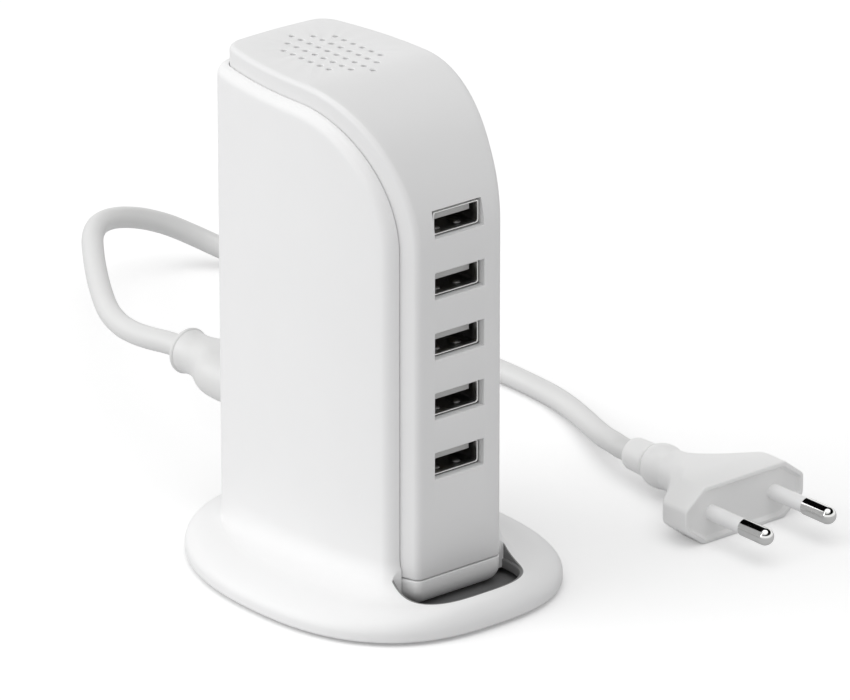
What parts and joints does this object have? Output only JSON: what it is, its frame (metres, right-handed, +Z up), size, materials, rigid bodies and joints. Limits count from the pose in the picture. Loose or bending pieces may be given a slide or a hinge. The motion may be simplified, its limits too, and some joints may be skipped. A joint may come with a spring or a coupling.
{
  "type": "multi port usb charger",
  "caption": "Upright desktop charging block with a curved top and a column of USB sockets, in a flared sleeve stand, with a plug-in mains lead.",
  "frame": {"origin": "on the table, under the centre of the base's outline", "axes": "+Z up, the sockets face -Y, +X to the right as seen facing the sockets"},
  "size_m": [0.1314, 0.2334, 0.117],
  "materials": {
    "stand_white": "fine matte moulding",
    "cover_white": "satin moulding",
    "base_grey": "matte",
    "foot_rubber": "matte",
    "screw_steel": "zinc plated",
    "board_green": "solder mask",
    "black_plastic": "moulded",
    "socket_steel": "nickel plated",
    "socket_white": "moulded",
    "contact_gold": "gold plated",
    "inlet_white": "moulded",
    "pin_nickel": "nickel plated",
    "wire_brown": "insulation",
    "ferrite": "sintered",
    "ferrite_green": "coated",
    "winding_tape": "tape",
    "copper_wire": "enamelled",
    "capacitor_can": "sleeve",
    "capacitor_yellow": "moulded",
    "fuse_brown": "moulded",
    "sink_aluminium": "mill finish",
    "lead_white": "soft PVC",
    "plug_white": "moulded PVC",
    "pin_sleeve_white": "moulded"
  },
  "bodies": {
    "root": {"stand_shell": "stand_white", "charger_cover": "cover_white", "back_cover": "cover_white", "bottom_cap": "cover_white", "base_plate": "base_grey", "rubber_foot_1": "foot_rubber", "rubber_foot_2": "foot_rubber", "rubber_foot_3": "foot_rubber", "rubber_foot_4": "foot_rubber", "shell_screws": "screw_steel", "cap_screws": "screw_steel", "port_board": "board_green", "main_board": "board_green", "board_link": "black_plastic", "transformer_bobbin": "black_plastic", "bridge_rectifier": "black_plastic", "power_transistor": "black_plastic", "charge_chips": "black_plastic", "usb_shell_1": "socket_steel", "usb_shell_2": "socket_steel", "usb_shell_3": "socket_steel", "usb_shell_4": "socket_steel", "usb_shell_5": "socket_steel", "usb_tongue_1": "socket_white", "usb_tongue_2": "socket_white", "usb_tongue_3": "socket_white", "usb_tongue_4": "socket_white", "usb_tongue_5": "socket_white", "usb_contacts_1": "contact_gold", "usb_contacts_2": "contact_gold", "usb_contacts_3": "contact_gold", "usb_contacts_4": "contact_gold", "usb_contacts_5": "contact_gold", "inlet_socket": "inlet_white", "inlet_pins": "pin_nickel", "plug_pins": "pin_nickel", "inlet_wires": "wire_brown", "transformer_core": "ferrite", "choke_core": "ferrite_green", "transformer_winding": "winding_tape", "choke_winding": "copper_wire", "bulk_capacitor_1": "capacitor_can", "bulk_capacitor_2": "capacitor_can", "output_capacitor_1": "capacitor_can", "output_capacitor_2": "capacitor_can", "output_capacitor_3": "capacitor_can", "line_capacitor": "capacitor_yellow", "fuse": "fuse_brown", "heat_sink": "sink_aluminium", "lead_connector": "lead_white", "mains_cord": "lead_white", "plug_relief": "plug_white", "plug_body": "plug_white", "pin_sleeves": "pin_sleeve_white"}
  },
  "joints": []
}
